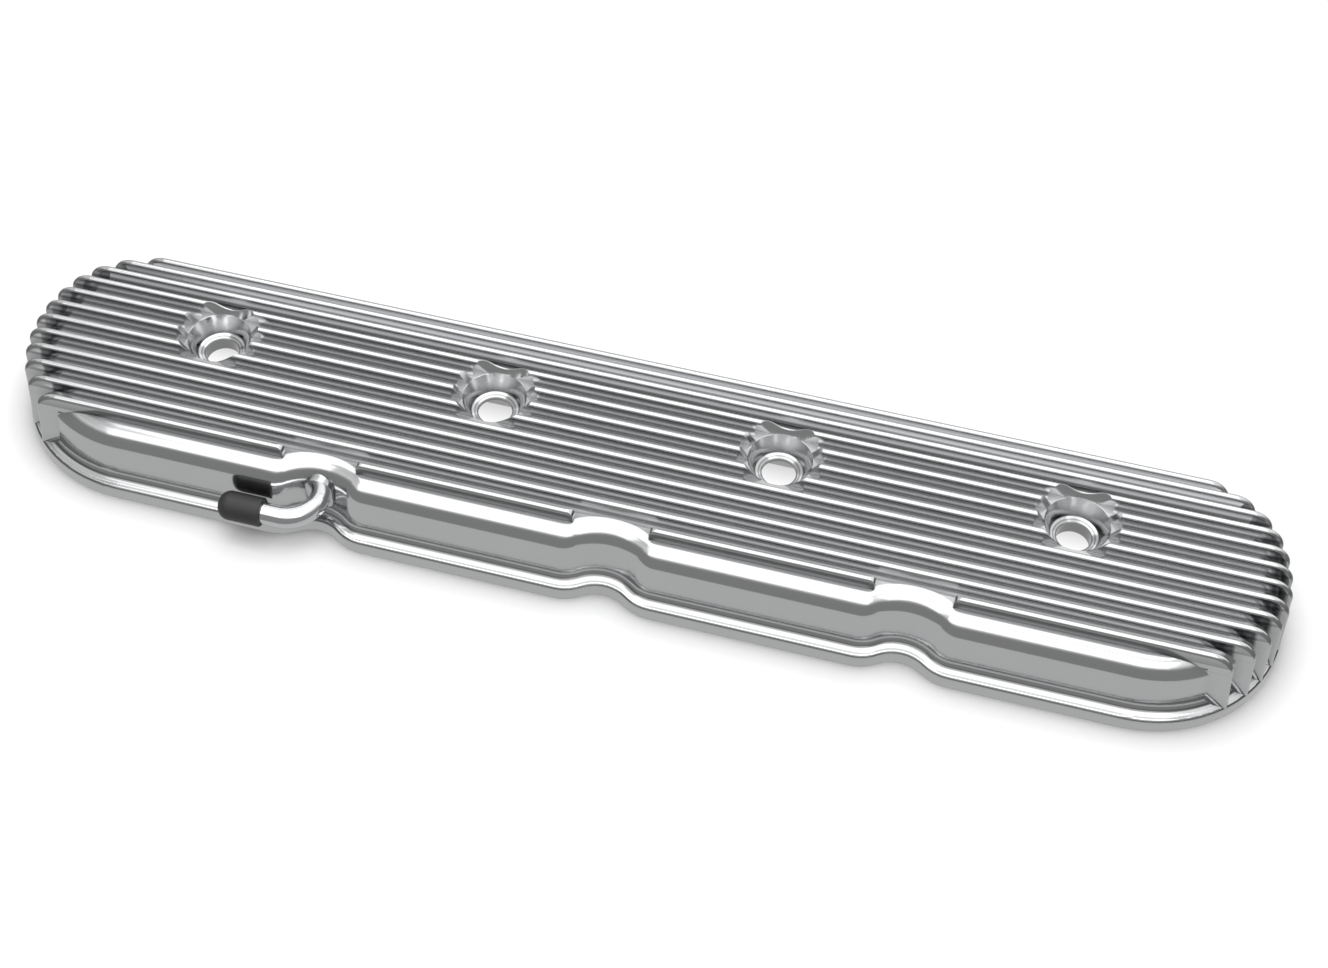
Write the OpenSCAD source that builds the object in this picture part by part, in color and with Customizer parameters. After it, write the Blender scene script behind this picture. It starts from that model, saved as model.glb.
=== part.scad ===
// Finned engine valve cover with a capped breather tube
// A one-piece polished casting: a stadium flange, a drafted wall with three
// scallops, a rounded shoulder, twelve full-round fins and four bolt pockets.
// Units are millimetres. X runs along the cover, -Y is the scalloped side and
// Z points up from the sealing face of the flange.

/* [Flange and wall] */
// Length over the two rounded ends of the flange
flange_length = 491.2; // [486:0.2:496]
// Width across the straight sides of the flange
flange_width = 108; // [107:0.1:109]
// Thickness of the flange lip at the wall
flange_thickness = 6; // [5.4:0.1:6.6]
// Rounding of the upper edge of the lip
lip_round = 1.3; // [0.8:0.1:1.8]
// Fillet between the lip and the wall
wall_fillet = 3.8; // [3:0.1:4]
// Distance from the edge of the lip to the foot of the wall
wall_inset = 5.3; // [4.8:0.1:5.6]
// Draft of the wall over its full height
wall_draft = 0.7; // [0.4:0.1:0.9]
// Radius of the shoulder between the wall and the deck
shoulder_radius = 7.9; // [7.4:0.1:8.2]
// Height of the flat deck between the fins
deck_height = 29.5; // [29:0.1:30]
// Thickness of the walls of the casting
wall_thickness = 4; // [3.6:0.1:4.4]
// Thickness of the deck of the casting
deck_thickness = 4; // [3.4:0.1:4.4]

/* [Sloped back] */
// Distance behind the middle where the deck starts to slope down
slope_start = 18; // [16:0.5:20]
// Radius of the sloping deck
slope_radius = 48.3; // [48:0.1:50]
// Radius of the shoulder above the back wall
back_radius = 5.8; // [5:0.1:6.5]

/* [Scallops] */
// Distance from one scallop to the next, the same as between the bolts
scallop_pitch = 111.76; // [108:0.01:114]
// Sum of the hollow and the corner radius, which sets depth and length
scallop_reach = 30; // [29:0.5:31]
// Radius of the two outer corners of a scallop, at the edge of the lip
scallop_corner = 16.6; // [16.2:0.1:17]

/* [Fins] */
// Distance from one fin to the next
fin_pitch = 7.555; // [7.4:0.005:7.7]
// Place of the fin next to the scallops
first_fin_y = -38.65; // [-38.9:0.05:-38.4]
// Thickness of a fin, also twice the radius of its rounded edge
fin_thickness = 2.6; // [2.2:0.1:3]
// Height of the fins above the deck
fin_height = 5.2; // [4.6:0.1:5.6]
// Outer radius of the corner where a crest turns down at the ends
fin_corner = 9; // [8:0.5:10]
// Slope of the fin ends in degrees
fin_end_slope = 5; // [4:0.5:6]
// Half of the gap in the first fin at a scallop
fin_gap_half = 14.3; // [14:0.1:15]
// Rounding of the crest at each side of that gap
fin_gap_round = 2.6; // [2:0.1:3]

/* [Bolt pockets] */
// Distance from one bolt hole to the next
bolt_pitch = 111.76; // [110:0.01:113]
// Offset of the row of holes along the cover
bolt_shift = -3.67; // [-5:0.01:-2]
// Place of the row of holes across the cover
bolt_y = 9.5; // [8:0.1:11]
// Diameter of the bolt holes
bolt_hole = 13.1; // [12.5:0.1:14]
// Height of the outer edge of the bolt seats
seat_height = 22.5; // [22:0.1:23]
// Radius of the outer edge of the bolt seats
seat_radius = 9.1; // [8.6:0.1:9.4]
// Depth of the shallow cone that each seat forms around its hole
seat_dish = 1; // [0.6:0.1:1.2]
// Radius of the pocket at the level of the deck
pocket_radius = 12.3; // [12:0.1:13]
// Radius of the pocket at the level of the crests
pocket_top_radius = 15.66; // [15:0.1:16.5]
// Thickness of the seats of the two outer bolts
outer_seat_thickness = 6.4; // [5:0.1:6.4]
// Thickness of the seats of the two inner bolts
inner_seat_thickness = 2.2; // [2:0.1:4]
// Radius of the bosses under the seats
boss_radius = 13.6; // [13.2:0.1:15]

/* [Breather] */
// Outer diameter of the breather tube
tube_diameter = 8; // [7.5:0.1:8.4]
// Inner diameter of the breather tube
tube_bore = 6; // [5:0.1:6.4]
// Radius of the tube bend, measured to its middle line
tube_bend = 12; // [11:0.5:12.5]
// Distance of the tube from the middle of the cover, towards the scallops
tube_y = 55.7; // [55:0.1:57]
// Height of the middle line of the tube
tube_height = 14.5; // [14:0.1:15.5]
// Width of the cast boss that holds the tube
port_width = 10.4; // [10:0.1:11]
// Height of the boss above the middle line of the tube
port_rise = 5.85; // [5:0.05:6.2]
// Distance of the face of the boss from the middle of the cover
port_face = 44; // [43.4:0.1:44.4]
// Outer diameter of the rubber cap
cap_diameter = 11.2; // [10.8:0.1:12]
// Length of the rubber cap
cap_length = 17; // [15:0.5:19]
// Distance from the tube port to the open end of the cap
cap_offset = 18.24; // [17:0.01:22]

/* [Gasket] */
// Distance from the edge of the lip to the gasket groove
groove_inset = 2.9; // [2.7:0.1:3.2]
// Width of the gasket groove
groove_width = 3.6; // [3.2:0.1:3.8]
// Depth of the gasket groove
groove_depth = 3; // [2.6:0.1:3.2]
// Side clearance of the gasket in its groove
gasket_clearance = 0.1; // [0.05:0.01:0.2]

/* [Baffle] */
// Length of the sheet metal baffle under the breather
baffle_length = 84; // [76:1:86]
// Width of the baffle
baffle_width = 46; // [42:1:48]
// Thickness of the sheet of the baffle
baffle_sheet = 1.2; // [1:0.1:1.5]
// Height of the turned up rim of the baffle
baffle_rim = 9; // [7:0.5:10]
// Height of the lower side of the baffle
baffle_level = 8; // [7.4:0.1:9]
// Radius of the cast posts that carry the baffle
post_radius = 4.2; // [3.8:0.1:4.6]
// Diameter of the baffle screws
screw_diameter = 4; // [3.5:0.1:4.2]
// Clearance of a screw in its hole, on the radius
screw_clearance = 0.05; // [0.03:0.01:0.1]

/* [Hidden] */
round_fn = 96;
small_fn = 48;

half_width = flange_width / 2;
end_x = flange_length / 2 - half_width;
wall_top_inset = wall_inset + wall_draft;
shoulder_inset = wall_top_inset + shoulder_radius;
shoulder_z = deck_height - shoulder_radius;
lip_face = flange_thickness - lip_round;
foot_fillet = min(wall_fillet, wall_inset - lip_round);

inner_foot = wall_inset + wall_thickness;
inner_top = wall_top_inset + wall_thickness;
inner_radius = shoulder_inset - inner_top;
roof_z = deck_height - deck_thickness;
inner_corner_z = roof_z - inner_radius;

slope_axis_z = deck_height - slope_radius;
back_wall_y = half_width - wall_inset - 0.45;
back_y = back_wall_y - back_radius;
back_z = slope_axis_z + sqrt(pow(slope_radius - back_radius, 2) - pow(back_y - slope_start, 2));
back_touch_y = slope_start + (back_y - slope_start) * slope_radius / (slope_radius - back_radius);
inner_slope = slope_radius - deck_thickness;

scallop_half = 0.6 * scallop_reach;
scallop_depth = 0.2 * scallop_reach;
scallop_turn = atan(0.75);
scallop_hollow = scallop_reach - scallop_corner;
run_depth = scallop_corner - 1.4;
hollow_y = -half_width + scallop_depth - scallop_hollow;
corner_y = -half_width + scallop_corner;
scallop_xs = [-scallop_pitch, 0, scallop_pitch];

edge_radius = fin_thickness / 2;
slab_radius = edge_radius - 0.06;
crest_height = deck_height + fin_height;
fin_count = 12;
fin_foot_z = lip_face;
fin_foot_reach = half_width - 0.1;

tube_x = -scallop_pitch;
frame_y = (tube_y + cap_diameter / 2 - half_width) / 2;
tube_end_x = tube_x - cap_offset - cap_length + 3;
baffle_x = tube_x;
baffle_y = -8;
post_dx = baffle_length / 2 - 9;
post_dy = baffle_width / 2 - 8;

// Section of the casting, from the edge of the lip inwards
module outer_section(depth) {
  intersection() {
    square([depth, deck_height]);
    union() {
      translate([0, 0]) square([depth, lip_face]);
      translate([lip_round, lip_face]) circle(lip_round, $fn = small_fn);
      translate([lip_round, 0]) square([depth, flange_thickness]);
      difference() {
        translate([wall_inset - foot_fillet, 0]) square([foot_fillet + 1, flange_thickness + foot_fillet]);
        translate([wall_inset - foot_fillet, flange_thickness + foot_fillet])
          circle(foot_fillet, $fn = small_fn);
      }
      polygon([
        [wall_inset, 0],
        [wall_inset, flange_thickness + foot_fillet],
        [wall_top_inset, shoulder_z],
        [depth + 1, shoulder_z],
        [depth + 1, 0]
      ]);
      translate([shoulder_inset, shoulder_z]) circle(shoulder_radius, $fn = round_fn);
      translate([shoulder_inset, 0]) square([depth, deck_height]);
    }
  }
}

// Section of the hollow under the casting, on the same base line
module inner_section(depth) {
  intersection() {
    translate([0, -1]) square([depth, roof_z + 1]);
    union() {
      polygon([
        [inner_foot, -1],
        [inner_foot, flange_thickness],
        [inner_top, inner_corner_z],
        [depth + 1, inner_corner_z],
        [depth + 1, -1]
      ]);
      translate([shoulder_inset, inner_corner_z]) circle(inner_radius, $fn = small_fn);
      translate([shoulder_inset, -1]) square([depth, roof_z + 1]);
    }
  }
}

// Runs a section along a straight part of the scalloped side
module front_run(x0, x1) {
  translate([x0, -half_width, 0]) rotate([90, 0, 90]) linear_extrude(x1 - x0) children();
}

// Everything on one side of the line between the centres of two scallop arcs
module beyond_turn(side, back) {
  translate([side * scallop_half, corner_y, 0]) rotate([0, 0, side * -scallop_turn])
    translate([back ? -100 : 0, -50, -5]) cube([100, 100, 100]);
}

// The hollow arc of a scallop
module scallop_arc() {
  difference() {
    translate([0, hollow_y, 0]) rotate_extrude(angle = 180, $fn = 2 * round_fn)
      translate([scallop_hollow, 0]) children();
    beyond_turn(1, false);
    beyond_turn(-1, true);
  }
}

// The two rounded corners beside a scallop
module scallop_corners() {
  for (side = [-1, 1])
    difference() {
      translate([side * scallop_half, corner_y, 0]) mirror([side > 0 ? 1 : 0, 0, 0])
        rotate([0, 0, -90]) rotate_extrude(angle = 90, $fn = 2 * round_fn)
          translate([scallop_corner, 0]) mirror([1, 0]) children();
      beyond_turn(side, side > 0);
    }
}

// Takes a section around the scalloped outline; the first child is the
// section up to the middle of the cover, the second one stops behind the scallops
module outline_form(core_bottom, core_top) {
  for (side = [0, 1])
    mirror([side, 0, 0]) translate([end_x, 0, 0]) rotate([0, 0, -90])
      rotate_extrude(angle = 180, $fn = 2 * round_fn)
        translate([half_width, 0]) mirror([1, 0]) children(0);
  translate([-end_x, 0, 0]) rotate([90, 0, 90]) linear_extrude(2 * end_x)
    translate([half_width, 0]) mirror([1, 0]) children(0);
  translate([-end_x, corner_y + 9, core_bottom])
    cube([2 * end_x, -corner_y - 9, core_top - core_bottom]);
  front_run(-end_x, scallop_xs[0] - scallop_half) children(1);
  front_run(scallop_xs[0] + scallop_half, scallop_xs[1] - scallop_half) children(1);
  front_run(scallop_xs[1] + scallop_half, scallop_xs[2] - scallop_half) children(1);
  front_run(scallop_xs[2] + scallop_half, end_x) children(1);
  difference() {
    translate([-end_x, corner_y - 1.6, core_bottom])
      cube([2 * end_x, 10.6, core_top - core_bottom]);
    for (x = scallop_xs)
      translate([x, hollow_y, core_bottom - 1])
        cylinder(r = scallop_hollow + run_depth - 0.9, h = core_top - core_bottom + 2, $fn = round_fn);
  }
  for (x = scallop_xs) translate([x, 0, 0]) {
    scallop_arc() children(1);
    scallop_corners() children(1);
  }
}

// Area under the sloping deck, seen along the cover
module slope_area(radius, corner, corner_y0, corner_z0, touch_y, top) {
  union() {
    translate([-80, -3]) square([80 + slope_start, top + 3]);
    intersection() {
      translate([slope_start, slope_axis_z]) circle(radius, $fn = 3 * round_fn);
      translate([slope_start - 1, -3]) square([touch_y - slope_start + 1, 80]);
    }
    translate([corner_y0, corner_z0]) circle(corner, $fn = small_fn);
    translate([slope_start - 1, -3]) square([60, corner_z0 + 3]);
  }
}

// The outside of the casting without its fins
module outer_form() {
  intersection() {
    outline_form(0, deck_height) {
      outer_section(half_width);
      outer_section(run_depth);
    }
    translate([-300, 0, 0]) rotate([90, 0, 90]) linear_extrude(600)
      slope_area(slope_radius, back_radius, back_y, back_z, back_touch_y, 60);
  }
}

// The hollow under the casting
module inner_form() {
  intersection() {
    outline_form(-1, roof_z) {
      inner_section(half_width);
      inner_section(run_depth);
    }
    translate([-300, 0, 0]) rotate([90, 0, 90]) linear_extrude(600)
      slope_area(inner_slope, 2, back_y, back_z,
                 slope_start + (back_y - slope_start) * inner_slope / (inner_slope - 2), 60);
  }
}

function deck_at(y) = y <= slope_start ? deck_height
  : slope_axis_z + sqrt(pow(slope_radius, 2) - pow(y - slope_start, 2));
function crest_at(y) = y <= slope_start ? crest_height
  : slope_axis_z + sqrt(pow(slope_radius + fin_height, 2) - pow(y - slope_start, 2));
function reach_at(y, z) = sqrt(pow(fin_foot_reach - (z - fin_foot_z) * tan(fin_end_slope)
  - edge_radius, 2) - pow(y, 2));

// One fin: a plate with a full-round edge that turns down at both ends
module fin(y) {
  crest = crest_at(y);
  foot_x = end_x + reach_at(y, fin_foot_z);
  top_x = end_x + reach_at(y, crest);
  lean = atan((foot_x - top_x) / (crest - fin_foot_z));
  turn = fin_corner - edge_radius;
  axis_z = crest - fin_corner;
  axis_x = foot_x - (axis_z - fin_foot_z) * tan(lean) - turn / cos(lean);
  drop = (axis_z + turn * sin(lean) - fin_foot_z) / cos(lean);
  base = deck_at(y) - 2.5;
  translate([-axis_x, y, 0]) rotate([90, 0, 90]) linear_extrude(2 * axis_x) {
    translate([-edge_radius, base]) square([fin_thickness, crest - edge_radius - base]);
    translate([0, crest - edge_radius]) circle(edge_radius, $fn = small_fn);
  }
  for (side = [0, 1])
    mirror([side, 0, 0]) translate([axis_x, y, axis_z]) rotate([90, 0, 0]) {
      rotate_extrude(angle = 90, $fn = round_fn) {
        translate([0, -edge_radius]) square([turn, fin_thickness]);
        translate([turn, 0]) circle(edge_radius, $fn = small_fn);
      }
      rotate([0, 0, lean]) translate([0, 0.5, 0]) rotate([90, 0, 0]) linear_extrude(drop + 0.5) {
        translate([-8, -slab_radius]) square([turn + 8, 2 * slab_radius]);
        translate([turn, 0]) circle(slab_radius, $fn = small_fn);
      }
    }
}

// The gap that each scallop leaves in the first fin, with rounded crests
module fin_gap(x) {
  low = deck_height - 4;
  round_z = crest_height - fin_gap_round;
  wide = fin_gap_half + fin_gap_round;
  translate([x, first_fin_y + fin_thickness, 0]) rotate([90, 0, 0])
    linear_extrude(2 * fin_thickness) {
      translate([-fin_gap_half, low]) square([2 * fin_gap_half, 20]);
      difference() {
        translate([-wide, round_z]) square([2 * wide, 10]);
        for (side = [-1, 1])
          translate([side * wide, round_z]) circle(fin_gap_round, $fn = small_fn);
      }
    }
}

module fins() {
  for (i = [1 : fin_count - 1]) fin(first_fin_y + i * fin_pitch);
  difference() {
    fin(first_fin_y);
    for (x = scallop_xs) fin_gap(x);
  }
}

// Pocket around a bolt hole: a cone through the fins, a steeper wall below the
// deck and a shallow cone as the seat
module bolt_pocket() {
  rotate_extrude($fn = round_fn)
    polygon([
      [0, seat_height - seat_dish],
      [bolt_hole / 2 + 0.3, seat_height - seat_dish],
      [seat_radius, seat_height],
      [pocket_radius, deck_height],
      [pocket_top_radius, crest_height],
      [pocket_top_radius + 0.7, crest_height + 1],
      [0, crest_height + 1]
    ]);
}

module at_bolts() {
  for (i = [0 : 3])
    translate([(i - 1.5) * bolt_pitch + bolt_shift, bolt_y, 0]) children();
}

// Cast boss for the tube, a flat oval that rises into the shoulder
module port_boss() {
  inside = -half_width + scallop_depth + inner_top + 0.5;
  translate([tube_x, inside, tube_height]) rotate([90, 0, 0])
    linear_extrude(port_face + inside) {
      circle(d = port_width, $fn = small_fn);
      translate([0, port_rise]) circle(d = port_width, $fn = small_fn);
      translate([-port_width / 2, 0]) square([port_width, port_rise]);
    }
}

module at_posts() {
  for (dx = [-1, 1], dy = [-1, 1])
    translate([baffle_x + dx * post_dx, baffle_y + dy * post_dy, 0]) children();
}

// Plan of the scalloped outline, moved inwards by an inset
module outline_plan(inset) {
  difference() {
    union() {
      for (side = [-1, 1]) translate([side * end_x, 0]) circle(half_width - inset, $fn = 2 * round_fn);
      translate([-end_x, -half_width + inset]) square([2 * end_x, flange_width - 2 * inset]);
    }
    for (x = scallop_xs) translate([x, 0]) {
      intersection() {
        translate([0, hollow_y]) circle(scallop_hollow + inset, $fn = 2 * round_fn);
        polygon([[0, hollow_y], [scallop_half, corner_y], [-scallop_half, corner_y]]);
      }
      for (side = [0, 1]) mirror([side, 0])
        difference() {
          polygon([
            [0, hollow_y],
            [scallop_half, hollow_y],
            [scallop_half, corner_y]
          ]);
          translate([scallop_half, corner_y]) circle(scallop_corner - inset, $fn = 2 * round_fn);
        }
    }
  }
}

module groove_ring(clearance, height) {
  linear_extrude(height) difference() {
    outline_plan(groove_inset + clearance);
    outline_plan(groove_inset + groove_width - clearance);
  }
}

module cover_casting() color([0.80, 0.81, 0.82]) translate([0, frame_y, 0]) {
  difference() {
    union() {
      difference() {
        union() {
          outer_form();
          fins();
        }
        inner_form();
      }
      port_boss();
      intersection() {
        at_bolts() translate([0, 0, seat_height - outer_seat_thickness])
          cylinder(r = boss_radius, h = deck_height - 1 - seat_height + outer_seat_thickness, $fn = round_fn);
        union() {
          translate([-300, -60, seat_height - inner_seat_thickness]) cube([600, 120, 20]);
          for (side = [-1, 1]) translate([side * 190 - 60, -60, 0]) cube([120, 120, 60]);
        }
      }
      at_posts() translate([0, 0, baffle_level + baffle_sheet])
        cylinder(r = post_radius, h = roof_z + 1 - baffle_level - baffle_sheet, $fn = small_fn);
    }
    at_bolts() {
      bolt_pocket();
      translate([0, 0, 10]) cylinder(d = bolt_hole, h = 20, $fn = round_fn);
    }
    translate([tube_x, -30, tube_height]) rotate([90, 0, 0])
      cylinder(d = tube_diameter, h = 30, $fn = small_fn);
    at_posts() translate([0, 0, baffle_level])
      cylinder(r = screw_diameter / 2 + screw_clearance, h = 12, $fn = small_fn);
    translate([0, 0, -1]) groove_ring(0, groove_depth + 1);
  }
}

module breather_tube() color([0.75, 0.76, 0.78]) translate([0, frame_y, 0]) {
  bend_y = -tube_y + tube_bend;
  inside_y = -half_width + scallop_depth + inner_top + 2.2;
  difference() {
    union() {
      translate([tube_x, inside_y, tube_height]) rotate([90, 0, 0])
        cylinder(d = tube_diameter, h = inside_y - bend_y, $fn = small_fn);
      translate([tube_x - tube_bend, bend_y, tube_height]) rotate([0, 0, -90])
        rotate_extrude(angle = 90, $fn = round_fn)
          translate([tube_bend, 0]) circle(d = tube_diameter, $fn = small_fn);
      translate([tube_end_x, -tube_y, tube_height]) rotate([0, 90, 0])
        cylinder(d = tube_diameter, h = tube_x - tube_bend - tube_end_x, $fn = small_fn);
    }
    translate([tube_x, inside_y + 1, tube_height]) rotate([90, 0, 0])
      cylinder(d = tube_bore, h = inside_y + 1 - bend_y, $fn = small_fn);
    translate([tube_x - tube_bend, bend_y, tube_height]) rotate([0, 0, -90])
      rotate_extrude(angle = 90, $fn = round_fn)
        translate([tube_bend, 0]) circle(d = tube_bore, $fn = small_fn);
    translate([tube_end_x - 1, -tube_y, tube_height]) rotate([0, 90, 0])
      cylinder(d = tube_bore, h = tube_x - tube_bend - tube_end_x + 1, $fn = small_fn);
  }
}

// Push-on rubber cap with a domed closed end
module breather_cap() color([0.08, 0.08, 0.09]) translate([0, frame_y, 0]) {
  dome = 4.4;
  outer = cap_diameter / 2;
  translate([tube_x - cap_offset, -tube_y, tube_height]) rotate([0, -90, 0])
    rotate_extrude($fn = round_fn) difference() {
      union() {
        translate([0, 0.5]) square([outer, cap_length - dome - 0.5]);
        square([outer - 0.5, 1]);
        translate([outer - 0.5, 0.5]) intersection() {
          circle(0.5, $fn = small_fn);
          translate([0, -1]) square([1, 2]);
        }
        square([outer - dome, cap_length]);
        translate([outer - dome, cap_length - dome]) intersection() {
          circle(dome, $fn = small_fn);
          square([dome, dome]);
        }
      }
      translate([0, -1]) square([tube_diameter / 2, cap_length - 3 + 1]);
    }
}

module flange_gasket() color([0.12, 0.12, 0.13]) translate([0, frame_y, 0])
  groove_ring(gasket_clearance, groove_depth);

// Folded sheet tray that keeps oil out of the breather
module breather_baffle() color([0.62, 0.64, 0.66]) translate([0, frame_y, 0]) {
  low = [baffle_x - baffle_length / 2, baffle_y - baffle_width / 2, baffle_level];
  difference() {
    translate(low) cube([baffle_length, baffle_width, baffle_sheet + baffle_rim]);
    translate(low + [baffle_sheet, -1, baffle_sheet])
      cube([baffle_length - 2 * baffle_sheet, baffle_width + 1 - baffle_sheet, baffle_rim + 1]);
    at_posts() translate([0, 0, baffle_level - 1])
      cylinder(r = screw_diameter / 2 + 0.25, h = baffle_sheet + 2, $fn = small_fn);
    for (dx = [-24, 0, 24])
      translate([baffle_x + dx, baffle_y + 12, baffle_level - 1]) cylinder(d = 5, h = 4, $fn = small_fn);
  }
}

module baffle_screws() color([0.55, 0.56, 0.58]) translate([0, frame_y, 0])
  at_posts() translate([0, 0, baffle_level]) difference() {
    union() {
      cylinder(d = screw_diameter, h = 11, $fn = small_fn);
      translate([0, 0, -2.4]) rotate_extrude($fn = small_fn)
        polygon([[0, 0], [2.6, 0], [3.6, 0.9], [3.8, 1.6], [3.8, 2.4], [0, 2.4]]);
    }
    translate([-0.5, -2, -3]) cube([1, 4, 1.9]);
    translate([-2, -0.5, -3]) cube([4, 1, 1.9]);
  }

cover_casting();
breather_tube();
breather_cap();
flange_gasket();
breather_baffle();
baffle_screws();
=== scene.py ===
import bpy
import math
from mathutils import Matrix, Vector

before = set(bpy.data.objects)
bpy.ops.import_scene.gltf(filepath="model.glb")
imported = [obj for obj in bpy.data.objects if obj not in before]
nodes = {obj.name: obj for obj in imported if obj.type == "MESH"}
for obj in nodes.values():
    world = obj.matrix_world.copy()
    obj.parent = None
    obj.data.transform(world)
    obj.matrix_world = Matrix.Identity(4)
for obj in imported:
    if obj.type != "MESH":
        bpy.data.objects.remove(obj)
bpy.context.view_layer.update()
scene = bpy.context.scene
print("frame loaded:", ", ".join(sorted(nodes)))

mm = 0.001
noiseMiddle = (0.3, 0.7)                # a noise value mostly lies between these


# helpers for node trees

def newMaterial(name):
    material = bpy.data.materials.new(name)
    material.use_nodes = True
    tree = material.node_tree
    tree.nodes.clear()
    output = tree.nodes.new("ShaderNodeOutputMaterial")
    shader = tree.nodes.new("ShaderNodeBsdfPrincipled")
    tree.links.new(shader.outputs["BSDF"], output.inputs["Surface"])
    return material, tree, shader


def addNode(tree, kind, **values):
    node = tree.nodes.new(kind)
    for key, value in values.items():
        setattr(node, key, value)
    return node


def feed(tree, socket, value):
    # a socket takes a constant or another node's output
    if isinstance(value, (int, float, tuple)):
        socket.default_value = value
    else:
        tree.links.new(value, socket)


def mathNode(tree, operation, first, second=0.0, clamp=False):
    node = addNode(tree, "ShaderNodeMath", operation=operation, use_clamp=clamp)
    feed(tree, node.inputs[0], first)
    feed(tree, node.inputs[1], second)
    return node.outputs[0]


def hypotenuse(tree, first, second):
    squares = [mathNode(tree, "POWER", side, 2.0) for side in (first, second)]
    return mathNode(tree, "SQRT", mathNode(tree, "ADD", *squares))


def objectPlace(tree):
    return addNode(tree, "ShaderNodeTexCoord").outputs["Object"]


def separated(tree, vector):
    node = addNode(tree, "ShaderNodeSeparateXYZ")
    tree.links.new(vector, node.inputs[0])
    return node.outputs


def noiseNode(tree, vector, scale, detail=2.0, rough=0.5):
    node = addNode(tree, "ShaderNodeTexNoise")
    node.inputs["Scale"].default_value = scale
    node.inputs["Detail"].default_value = detail
    node.inputs["Roughness"].default_value = rough
    tree.links.new(vector, node.inputs["Vector"])
    return node.outputs["Fac"]


def stretched(tree, vector, x, y, z):
    node = addNode(tree, "ShaderNodeMapping")
    node.inputs["Scale"].default_value = (x, y, z)
    tree.links.new(vector, node.inputs["Vector"])
    return node.outputs["Vector"]


def spread(tree, value, low, high, fromLow=0.0, fromHigh=1.0):
    node = addNode(tree, "ShaderNodeMapRange")
    node.inputs["From Min"].default_value = fromLow
    node.inputs["From Max"].default_value = fromHigh
    node.inputs["To Min"].default_value = low
    node.inputs["To Max"].default_value = high
    tree.links.new(value, node.inputs["Value"])
    return node.outputs["Result"]


def mixed(tree, factor, first, second, dataType="FLOAT"):
    node = addNode(tree, "ShaderNodeMix", data_type=dataType)
    tree.links.new(factor, node.inputs["Factor"])
    feed(tree, node.inputs["A"], first)
    feed(tree, node.inputs["B"], second)
    return node.outputs["Result"]


def mixColour(tree, factor, first, second):
    first, second = ((*c, 1) if isinstance(c, tuple) else c for c in (first, second))
    return mixed(tree, factor, first, second, "RGBA")


def scaledColour(tree, colour, factor):
    node = addNode(tree, "ShaderNodeVectorMath", operation="SCALE")
    feed(tree, node.inputs[0], colour)
    tree.links.new(factor, node.inputs["Scale"])
    return node.outputs["Vector"]


def openSky(tree, reach, onlyLocal=False, samples=6):
    # 1 on open ground, lower in corners and valleys
    node = addNode(tree, "ShaderNodeAmbientOcclusion", samples=samples, only_local=onlyLocal)
    node.inputs["Distance"].default_value = reach
    return node.outputs["AO"]


def bumpFrom(tree, shader, height, depth, normal=None):
    node = addNode(tree, "ShaderNodeBump")
    node.inputs["Strength"].default_value = 1.0
    node.inputs["Distance"].default_value = depth
    tree.links.new(height, node.inputs["Height"])
    if normal is not None:
        tree.links.new(normal, node.inputs["Normal"])
    tree.links.new(node.outputs["Normal"], shader.inputs["Normal"])


def toneCurve(tree, value, tones):
    # straight lines between points of (size in mm, tone)
    total = tones[0][1]
    for (a, toneA), (b, toneB) in zip(tones, tones[1:]):
        total = mathNode(tree, "ADD", spread(tree, value, 0.0, toneB - toneA, a * mm, b * mm), total)
    return total


def dress(nodeName, material):
    part = nodes[nodeName]
    if not part.material_slots:
        part.data.materials.append(material)
    for slot in part.material_slots:
        slot.material = material


# polished casting: its sizes in the frame, as the part has them, and its look

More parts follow.
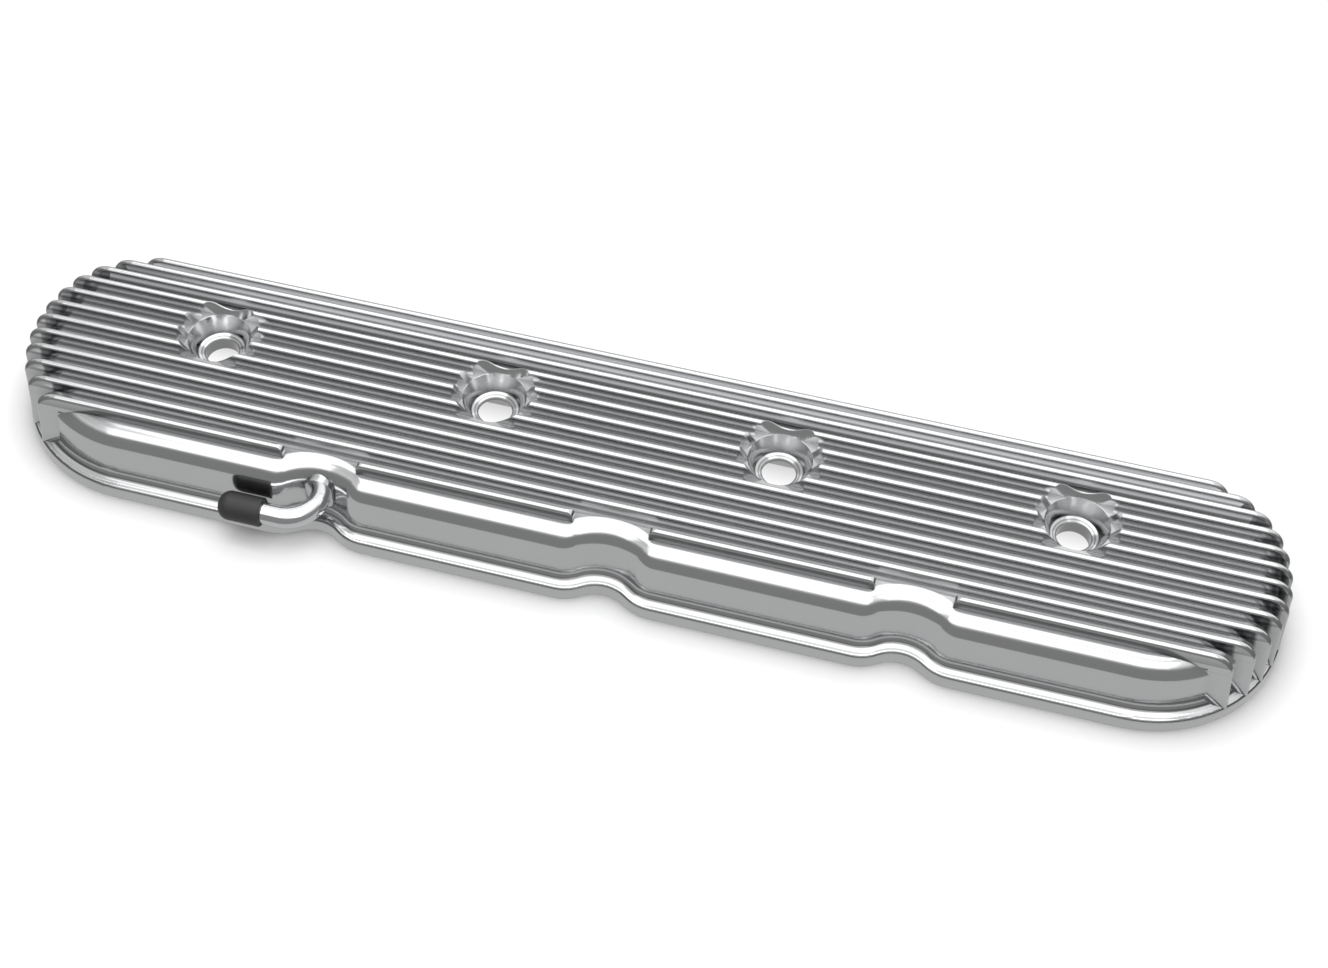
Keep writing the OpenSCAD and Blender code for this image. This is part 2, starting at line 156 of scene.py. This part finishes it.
castingForm = dict(
    flangeHalfWidth=54 * mm,
    flangeEndX=191.6 * mm,              # centres of the round ends
    flangeShift=3.65 * mm,              # the flange's middle line, from the frame's
    hollowInset=8 * mm,                 # further in than this and below hollowFoot, it is hollow side
    hollowFoot=5.9 * mm,
    facingDown=(-0.035, -0.02),         # upward part of the normal: hollow side up to polished
    deckHeight=29.5 * mm,
    slopeStart=18 * mm,                 # from the middle line, where the deck starts to slope
    slopeRadius=48.3 * mm,
    boltFirst=-171.31 * mm,
    boltPitch=111.76 * mm,
    boltLine=9.5 * mm,                  # from the middle line
    pocketReach=16.4 * mm,              # past the rim of a bolt pocket
)
castingLook = dict(
    polished=(0.66, 0.665, 0.67),       # outside, buffed to a mirror
    cloudBright=1.03,                   # its lighter clouds
    cloudScale=45,
    paintedShadeColour=(0.30, 0.305, 0.31),      # painted shade: valleys and corners, darker where less open sky reaches
    paintedShadeReach=7 * mm,
    paintedShadePower=1.3,
    asCast=(0.47, 0.475, 0.48),         # hollow side, left as it came from the mould
    grainDim=0.88,
    grainScale=900,
    polishRoughness=(0.12, 0.155),
    buffScale=160,
    buffSqueeze=(0.35, 1, 1),
    castRoughness=0.52,
    edgeRadius=0.45 * mm,               # soft edges of the casting, after buffing
    edgeSamples=4,
    waviness=0.012 * mm,
    waveScale=60,
    waveShare=0.25,
    sandShare=4.0,
    enclosedLimits=(0.6, 0.78),         # open sky in a valley and on a fin that stands free
    # height over the deck in mm, and the painted reflection and shade there: how much lighter or darker a
    # fin is made than by the painted valley shade alone
    paintedFinReflectionTones=((-0.45, 1.0), (-0.15, 0.62), (0.6, 0.60), (1.28, 1.45), (1.9, 2.15), (2.5, 1.95),
        (3.1, 1.3), (3.75, 0.95), (4.4, 1.0)),
    # the same painted reflection and shade where a fin stands free: the front of the first fin and the gaps
    # over the scallops
    paintedFreeFinTones=((-0.4, 1.0), (-0.1, 0.74), (0.4, 0.64), (3.7, 0.85), (4.4, 1.0)),
    # height in mm and tone there on the lip, where it faces up: painted shade that keeps its bright line
    # narrow
    paintedLipShadeTones=((5.4, 1.0), (5.6, 0.32), (5.86, 0.32), (5.96, 1.0), (6.5, 1.0), (6.75, 0.36),
        (7.15, 0.5), (7.4, 1.0)),
    paintedLipFacing=(0.5, 0.65),              # upward part of the normal: the painted lip shade not at all, and in full
    # radius in mm around a bolt hole and tone there: painted highlight and shade rings on the seat
    paintedSeatRingTones=((6.5, 0.30), (6.9, 0.34), (7.15, 0.75), (7.6, 0.62), (7.9, 0.36), (8.25, 0.95),
        (8.8, 0.9), (9.1, 0.42), (9.5, 0.8), (10.0, 1.0)),
)


def hollowSide(tree, place, facing):
    # 1 on everything that faces down and on the foot of the inner wall
    form = castingForm
    down = spread(tree, facing["Z"], 1.0, 0.0, *form["facingDown"])
    pastEnd = mathNode(tree, "SUBTRACT", mathNode(tree, "ABSOLUTE", place["X"]), form["flangeEndX"])
    across = mathNode(tree, "SUBTRACT", place["Y"], form["flangeShift"])
    outward = hypotenuse(tree, mathNode(tree, "MAXIMUM", pastEnd, 0.0), across)
    inside = mathNode(tree, "LESS_THAN", outward, form["flangeHalfWidth"] - form["hollowInset"])
    low = mathNode(tree, "LESS_THAN", place["Z"], form["hollowFoot"])
    return mathNode(tree, "MAXIMUM", down, mathNode(tree, "MULTIPLY", inside, low), True)


def paintedFinReflection(tree, place, sky):
    # painted reflection and shade between the fins: darker floor, a painted lighter reflected line on the
    # flank, painted shade below the crest
    form, look = castingForm, castingLook
    behind = mathNode(tree, "SUBTRACT", place["Y"], form["flangeShift"] + form["slopeStart"])
    above = mathNode(tree, "SUBTRACT", place["Z"], form["deckHeight"] - form["slopeRadius"])
    fromAxis = hypotenuse(tree, mathNode(tree, "MAXIMUM", behind, 0.0), above)
    overDeck = mathNode(tree, "SUBTRACT", fromAxis, form["slopeRadius"])
    enclosed = spread(tree, sky, 1.0, 0.0, *look["enclosedLimits"])
    freeFinPaint = toneCurve(tree, overDeck, look["paintedFreeFinTones"])
    return mixed(tree, enclosed, freeFinPaint, toneCurve(tree, overDeck, look["paintedFinReflectionTones"]))


def paintedSeatRings(tree, place, elsewhere):
    # painted highlight and shade rings on the bolt seats, inside the pockets only
    form = castingForm
    pitch = form["boltPitch"]
    along = mathNode(tree, "SUBTRACT", place["X"], form["boltFirst"] - pitch / 2)
    alongRow = mathNode(tree, "SUBTRACT", mathNode(tree, "FLOORED_MODULO", along, pitch), pitch / 2)
    acrossRow = mathNode(tree, "SUBTRACT", place["Y"], form["flangeShift"] + form["boltLine"])
    fromHole = hypotenuse(tree, alongRow, acrossRow)
    inPocket = mathNode(tree, "LESS_THAN", fromHole, form["pocketReach"])
    return mixed(tree, inPocket, elsewhere, toneCurve(tree, fromHole, castingLook["paintedSeatRingTones"]))


def paintedLipShade(tree, place, facing):
    # painted shade on the lip where it faces up, dimming part of its bright line
    up = spread(tree, facing["Z"], 0.0, 1.0, *castingLook["paintedLipFacing"])
    return mixed(tree, up, 1.0, toneCurve(tree, place["Z"], castingLook["paintedLipShadeTones"]))


def polishedColourWithPaintedLight(tree, whole, place, facing):
    look = castingLook
    # painted shade: the colour darkens in valleys and corners, where less open sky reaches
    sky = openSky(tree, look["paintedShadeReach"], onlyLocal=True)
    cloud = noiseNode(tree, whole, look["cloudScale"], 3)
    bright = tuple(c * look["cloudBright"] for c in look["polished"])
    buffed = mixColour(tree, cloud, look["polished"], bright)
    unshadedShare = mathNode(tree, "POWER", sky, look["paintedShadePower"])
    colour = mixColour(tree, unshadedShare, look["paintedShadeColour"], buffed)
    # painted reflection and shade between the fins, painted highlight and shade rings on the seats and
    # painted shade on the lip scale the colour
    tone = paintedSeatRings(tree, place, paintedFinReflection(tree, place, sky))
    return scaledColour(tree, colour, mathNode(tree, "MULTIPLY", tone, paintedLipShade(tree, place, facing)))


def castingMaterial():
    look = castingLook
    material, tree, shader = newMaterial("polishedCasting")
    whole = objectPlace(tree)
    place = separated(tree, whole)
    facing = separated(tree, addNode(tree, "ShaderNodeNewGeometry").outputs["Normal"])
    hollow = hollowSide(tree, place, facing)
    grain = noiseNode(tree, whole, look["grainScale"], 4, 0.6)
    # colour and gloss, outside and in the hollow
    darker = tuple(c * look["grainDim"] for c in look["asCast"])
    sandy = mixColour(tree, grain, darker, look["asCast"])
    colour = mixColour(tree, hollow, polishedColourWithPaintedLight(tree, whole, place, facing), sandy)
    tree.links.new(colour, shader.inputs["Base Color"])
    strokes = noiseNode(tree, stretched(tree, whole, *look["buffSqueeze"]), look["buffScale"], 4)
    gloss = spread(tree, strokes, *look["polishRoughness"], *noiseMiddle)
    tree.links.new(mixed(tree, hollow, gloss, look["castRoughness"]), shader.inputs["Roughness"])
    shader.inputs["Metallic"].default_value = 1.0
    # softened edges, a faint hand-buffed waviness outside and sand grain inside
    soft = addNode(tree, "ShaderNodeBevel", samples=look["edgeSamples"])
    soft.inputs["Radius"].default_value = look["edgeRadius"]
    wave = mathNode(tree, "MULTIPLY", noiseNode(tree, whole, look["waveScale"], 1), look["waveShare"])
    sand = mathNode(tree, "MULTIPLY", mathNode(tree, "MULTIPLY", grain, hollow), look["sandShare"])
    bumpFrom(tree, shader, mathNode(tree, "ADD", wave, sand), look["waviness"], soft.outputs["Normal"])
    return material


dress("cover_casting", castingMaterial())
print("casting dressed")


# breather tube, cap, gasket, baffle and screws

metalClouds = dict(scale=90, dim=0.93)
rubberGrain = dict(scale=1400, cloudScale=120)

tubeLook = dict(
    colour=(0.80, 0.81, 0.82),
    roughness=(0.10, 0.16),
    scale=500,                          # drawing lines along the tube
    squeeze=(0.2, 0.2, 1),
    depth=0.004 * mm,
)
capLook = dict(
    colour=(0.014, 0.014, 0.015),
    worn=(0.034, 0.034, 0.036),
    roughness=(0.42, 0.55),
    depth=0.03 * mm,
)
gasketLook = dict(
    colour=(0.016, 0.016, 0.018),
    worn=(0.03, 0.03, 0.032),
    roughness=(0.5, 0.62),
    depth=0.02 * mm,
)
baffleLook = dict(
    colour=(0.52, 0.53, 0.54),
    roughness=(0.28, 0.4),
    scale=700,                          # rolling lines along the sheet
    squeeze=(0.05, 1, 1),
    depth=0.006 * mm,
)
screwLook = dict(
    colour=(0.46, 0.45, 0.43),
    roughness=(0.25, 0.38),
    scale=1500,                         # turning marks
    squeeze=(1, 1, 0.1),
    depth=0.008 * mm,
)


def metalMaterial(name, colour, roughness, scale, squeeze, depth):
    material, tree, shader = newMaterial(name)
    place = objectPlace(tree)
    lines = noiseNode(tree, stretched(tree, place, *squeeze), scale, 4)
    cloud = noiseNode(tree, place, metalClouds["scale"], 2)
    dim = tuple(c * metalClouds["dim"] for c in colour)
    tree.links.new(mixColour(tree, cloud, dim, colour), shader.inputs["Base Color"])
    tree.links.new(spread(tree, lines, *roughness, *noiseMiddle), shader.inputs["Roughness"])
    shader.inputs["Metallic"].default_value = 1.0
    bumpFrom(tree, shader, lines, depth)
    return material


def rubberMaterial(name, colour, worn, roughness, depth):
    material, tree, shader = newMaterial(name)
    place = objectPlace(tree)
    grain = noiseNode(tree, place, rubberGrain["scale"], 3)
    cloud = noiseNode(tree, place, rubberGrain["cloudScale"], 3)
    tree.links.new(mixColour(tree, cloud, colour, worn), shader.inputs["Base Color"])
    tree.links.new(spread(tree, cloud, *roughness, *noiseMiddle), shader.inputs["Roughness"])
    bumpFrom(tree, shader, grain, depth)
    return material


dress("breather_tube", metalMaterial("tubeMetal", **tubeLook))
dress("breather_cap", rubberMaterial("capRubber", **capLook))
dress("flange_gasket", rubberMaterial("gasketRubber", **gasketLook))
dress("breather_baffle", metalMaterial("baffleSheet", **baffleLook))
dress("baffle_screws", metalMaterial("screwSteel", **screwLook))
print("small pieces dressed")


# studio: pale floor, white room, soft boxes, and dark cards that only the metal mirrors

studio = dict(
    floorSize=40,
    floorColour=(0.78, 0.78, 0.78),
    floorRoughness=0.9,
    floorGlow=0.14,                     # lifts the open floor to white, the shadow stays
    paintedShadowReach=11 * mm,               # painted tight shadow beside the flange, darkening the floor's colour and glow
    paintedShadowPower=0.8,
    roomLight=0.78,                     # what the room gives to diffuse surfaces
    mirrorSides=(0.72, 1.12),           # strength of the mirrored room, left and right
    mirrorReach=(-0.45, 0.35),          # sideways part of a ray that gets these two
    frontBox=dict(place=(0.0, -0.75, 1.25), size=(1.9, 1.0), power=4.8),
    topBox=dict(place=(-0.05, 0.30, 1.40), size=(1.5, 1.1), power=9.0),
    cardTone=0.26,
    farCard=dict(radius=3.0, arc=(-190, 10), low=0.0, full=1.6, high=2.9),      # fades to white over full
    nearCard=dict(gap=32 * mm, low=0.0, high=36 * mm),
    greyMat=dict(tone=0.55, height=0.1 * mm),
    whiteSheet=dict(radius=30 * mm, endX=190 * mm, height=0.2 * mm),
    sheetPaintedShade=dict(near=24 * mm, far=40 * mm, dim=0.45),        # painted shade: darker under the holes, to the back
)


def lightPath(tree):
    return addNode(tree, "ShaderNodeLightPath").outputs


def directlySeen(tree, path):
    seen = mathNode(tree, "ADD", path["Is Camera Ray"], path["Is Glossy Ray"], True)
    return mathNode(tree, "ADD", seen, path["Is Transmission Ray"], True)


def studioWorld():
    world = bpy.data.worlds.new("studioRoom")
    world.use_nodes = True
    scene.world = world
    tree = world.node_tree
    tree.nodes.clear()
    output = tree.nodes.new("ShaderNodeOutputWorld")
    background = tree.nodes.new("ShaderNodeBackground")
    background.inputs["Color"].default_value = (1, 1, 1, 1)
    path = lightPath(tree)
    base = spread(tree, directlySeen(tree, path), studio["roomLight"], 1.0)
    # what the metal mirrors gets lighter from left to right
    direction = separated(tree, addNode(tree, "ShaderNodeTexCoord").outputs["Generated"])
    sideways = spread(tree, direction["X"], *studio["mirrorSides"], *studio["mirrorReach"])
    strength = mathNode(tree, "MULTIPLY", base, mixed(tree, path["Is Glossy Ray"], 1.0, sideways))
    tree.links.new(strength, background.inputs["Strength"])
    tree.links.new(background.outputs[0], output.inputs["Surface"])


def clearFromBelow(tree, surface):
    # seen from below, the floor is clear, so that the hollow side can be looked at
    clear = addNode(tree, "ShaderNodeBsdfTransparent")
    oneSided = addNode(tree, "ShaderNodeMixShader")
    side = addNode(tree, "ShaderNodeNewGeometry")
    tree.links.new(side.outputs["Backfacing"], oneSided.inputs[0])
    tree.links.new(surface, oneSided.inputs[1])
    tree.links.new(clear.outputs[0], oneSided.inputs[2])
    tree.links.new(oneSided.outputs[0], tree.nodes["Material Output"].inputs["Surface"])


def floorPlane():
    bpy.ops.mesh.primitive_plane_add(size=studio["floorSize"], location=(0, 0, 0))
    plane = bpy.context.object
    plane.name = "floor"
    material, tree, shader = newMaterial("paleFloor")
    shader.inputs["Roughness"].default_value = studio["floorRoughness"]
    shader.inputs["Specular IOR Level"].default_value = 0.0
    # painted shadow: the floor's colour and glow darken where the part hides the open sky
    paintedShadow = mathNode(tree, "POWER", openSky(tree, studio["paintedShadowReach"]), studio["paintedShadowPower"])
    tree.links.new(scaledColour(tree, studio["floorColour"], paintedShadow), shader.inputs["Base Color"])
    glow = addNode(tree, "ShaderNodeEmission")
    shine = mathNode(tree, "MULTIPLY", directlySeen(tree, lightPath(tree)), studio["floorGlow"])
    tree.links.new(mathNode(tree, "MULTIPLY", shine, paintedShadow), glow.inputs["Strength"])
    both = addNode(tree, "ShaderNodeAddShader")
    tree.links.new(shader.outputs[0], both.inputs[0])
    tree.links.new(glow.outputs[0], both.inputs[1])
    clearFromBelow(tree, both.outputs[0])
    plane.data.materials.append(material)
    return plane


def cardMaterial(name, tone, axis=None, start=0.0, end=1.0, endTone=1.0):
    # an even glow, or one that goes along an axis from tone at start to endTone at end
    material = bpy.data.materials.new(name)
    material.use_nodes = True
    tree = material.node_tree
    tree.nodes.clear()
    output = tree.nodes.new("ShaderNodeOutputMaterial")
    glow = tree.nodes.new("ShaderNodeEmission")
    glow.inputs["Strength"].default_value = tone
    if axis:
        along = separated(tree, objectPlace(tree))[axis]
        tree.links.new(spread(tree, along, tone, endTone, start, end), glow.inputs["Strength"])
    tree.links.new(glow.outputs[0], output.inputs["Surface"])
    return material


def addCard(name, points, faces, material):
    mesh = bpy.data.meshes.new(name)
    mesh.from_pydata(points, [], faces)
    mesh.materials.append(material)
    card = bpy.data.objects.new(name, mesh)
    scene.collection.objects.link(card)
    card.visible_shadow = False
    return card


def onlyMirrored(card):
    card.visible_camera = False
    card.visible_diffuse = False
    card.visible_transmission = False
    card.visible_volume_scatter = False
    return card


def standingCard(name, path, low, high, material, closed=True):
    count = len(path)
    points = [(x, y, z) for z in (low, high) for x, y in path]
    faces = []
    for i in range(count if closed else count - 1):
        after = (i + 1) % count
        faces.append((i, after, count + after, count + i))
    return addCard(name, points, faces, material)


def lyingCard(name, path, height, material):
    points = [(x, y, height) for x, y in path]
    return addCard(name, points, [list(range(len(path)))], material)


def arcPath(radius, start, end, steps, centreX=0.0, centreY=0.0):
    path = []
    for i in range(steps + 1):
        angle = math.radians(start + (end - start) * i / steps)
        path.append((centreX + radius * math.cos(angle), centreY + radius * math.sin(angle)))
    return path


def flangeOutline(radius, endX, steps=24):
    # a stadium shape like the flange's, on its middle line
    middleY = castingForm["flangeShift"]
    rightEnd = arcPath(radius, -90, 90, steps, endX, middleY)
    return rightEnd + arcPath(radius, 90, 270, steps, -endX, middleY)


def farDarkCard():
    # round the front half of the part
    card = studio["farCard"]
    material = cardMaterial("blackCard", studio["cardTone"], "Z", card["full"], card["high"])
    path = arcPath(card["radius"], *card["arc"], steps=40)
    return onlyMirrored(standingCard("farCard", path, card["low"], card["high"], material, closed=False))


def nearRim():
    radius = castingForm["flangeHalfWidth"] + studio["nearCard"]["gap"]
    return flangeOutline(radius, castingForm["flangeEndX"])


def nearDarkCard():
    # a low rim round the part
    card = studio["nearCard"]
    material = cardMaterial("nearBlackCard", studio["cardTone"])
    return onlyMirrored(standingCard("nearCard", nearRim(), card["low"], card["high"], material))


def matInsideRim():
    mat = studio["greyMat"]
    material = cardMaterial("greyCard", mat["tone"])
    return onlyMirrored(lyingCard("greyMat", nearRim(), mat["height"], material))


def sheetUnderHoles():
    # a glowing sheet: shows through the bolt holes and lights the hollow, with painted shade darkening it
    # to the back
    sheet, sheetShade = studio["whiteSheet"], studio["sheetPaintedShade"]
    material = cardMaterial("whiteCard", 1.0, "Y", sheetShade["near"], sheetShade["far"], sheetShade["dim"])
    tree = material.node_tree
    clearFromBelow(tree, tree.nodes["Emission"].outputs[0])
    return lyingCard("whiteSheet", flangeOutline(sheet["radius"], sheet["endX"]), sheet["height"], material)


def softBox(name, place, size, power):
    lamp = bpy.data.lights.new(name, "AREA")
    lamp.shape = "RECTANGLE"
    lamp.size, lamp.size_y = size
    lamp.energy = power
    box = bpy.data.objects.new(name, lamp)
    box.location = place
    box.rotation_euler = (-Vector(place)).to_track_quat("-Z", "Y").to_euler()       # aims at the part
    scene.collection.objects.link(box)
    box.visible_camera = False


studioWorld()
floor = floorPlane()
farCard = farDarkCard()
nearCard = nearDarkCard()
greyMat = matInsideRim()
whiteSheet = sheetUnderHoles()
softBox("frontBox", **studio["frontBox"])
softBox("topBox", **studio["topBox"])
print("studio ready")


# camera, at the photograph's angle

cameraView = dict(
    place=(0.1172, -0.4710, 0.6315),
    turn=(38.110, -1.451, 14.553),
    lens=56.11,
    sensor=36,
    clip=(0.01, 100),
)

cameraData = bpy.data.cameras.new("camera")
cameraData.sensor_width = cameraView["sensor"]
cameraData.lens = cameraView["lens"]
cameraData.clip_start, cameraData.clip_end = cameraView["clip"]
camera = bpy.data.objects.new("camera", cameraData)
camera.location = cameraView["place"]
camera.rotation_euler = [math.radians(a) for a in cameraView["turn"]]
scene.collection.objects.link(camera)
scene.camera = camera
scene.view_settings.view_transform = "Standard"
print("camera ready")
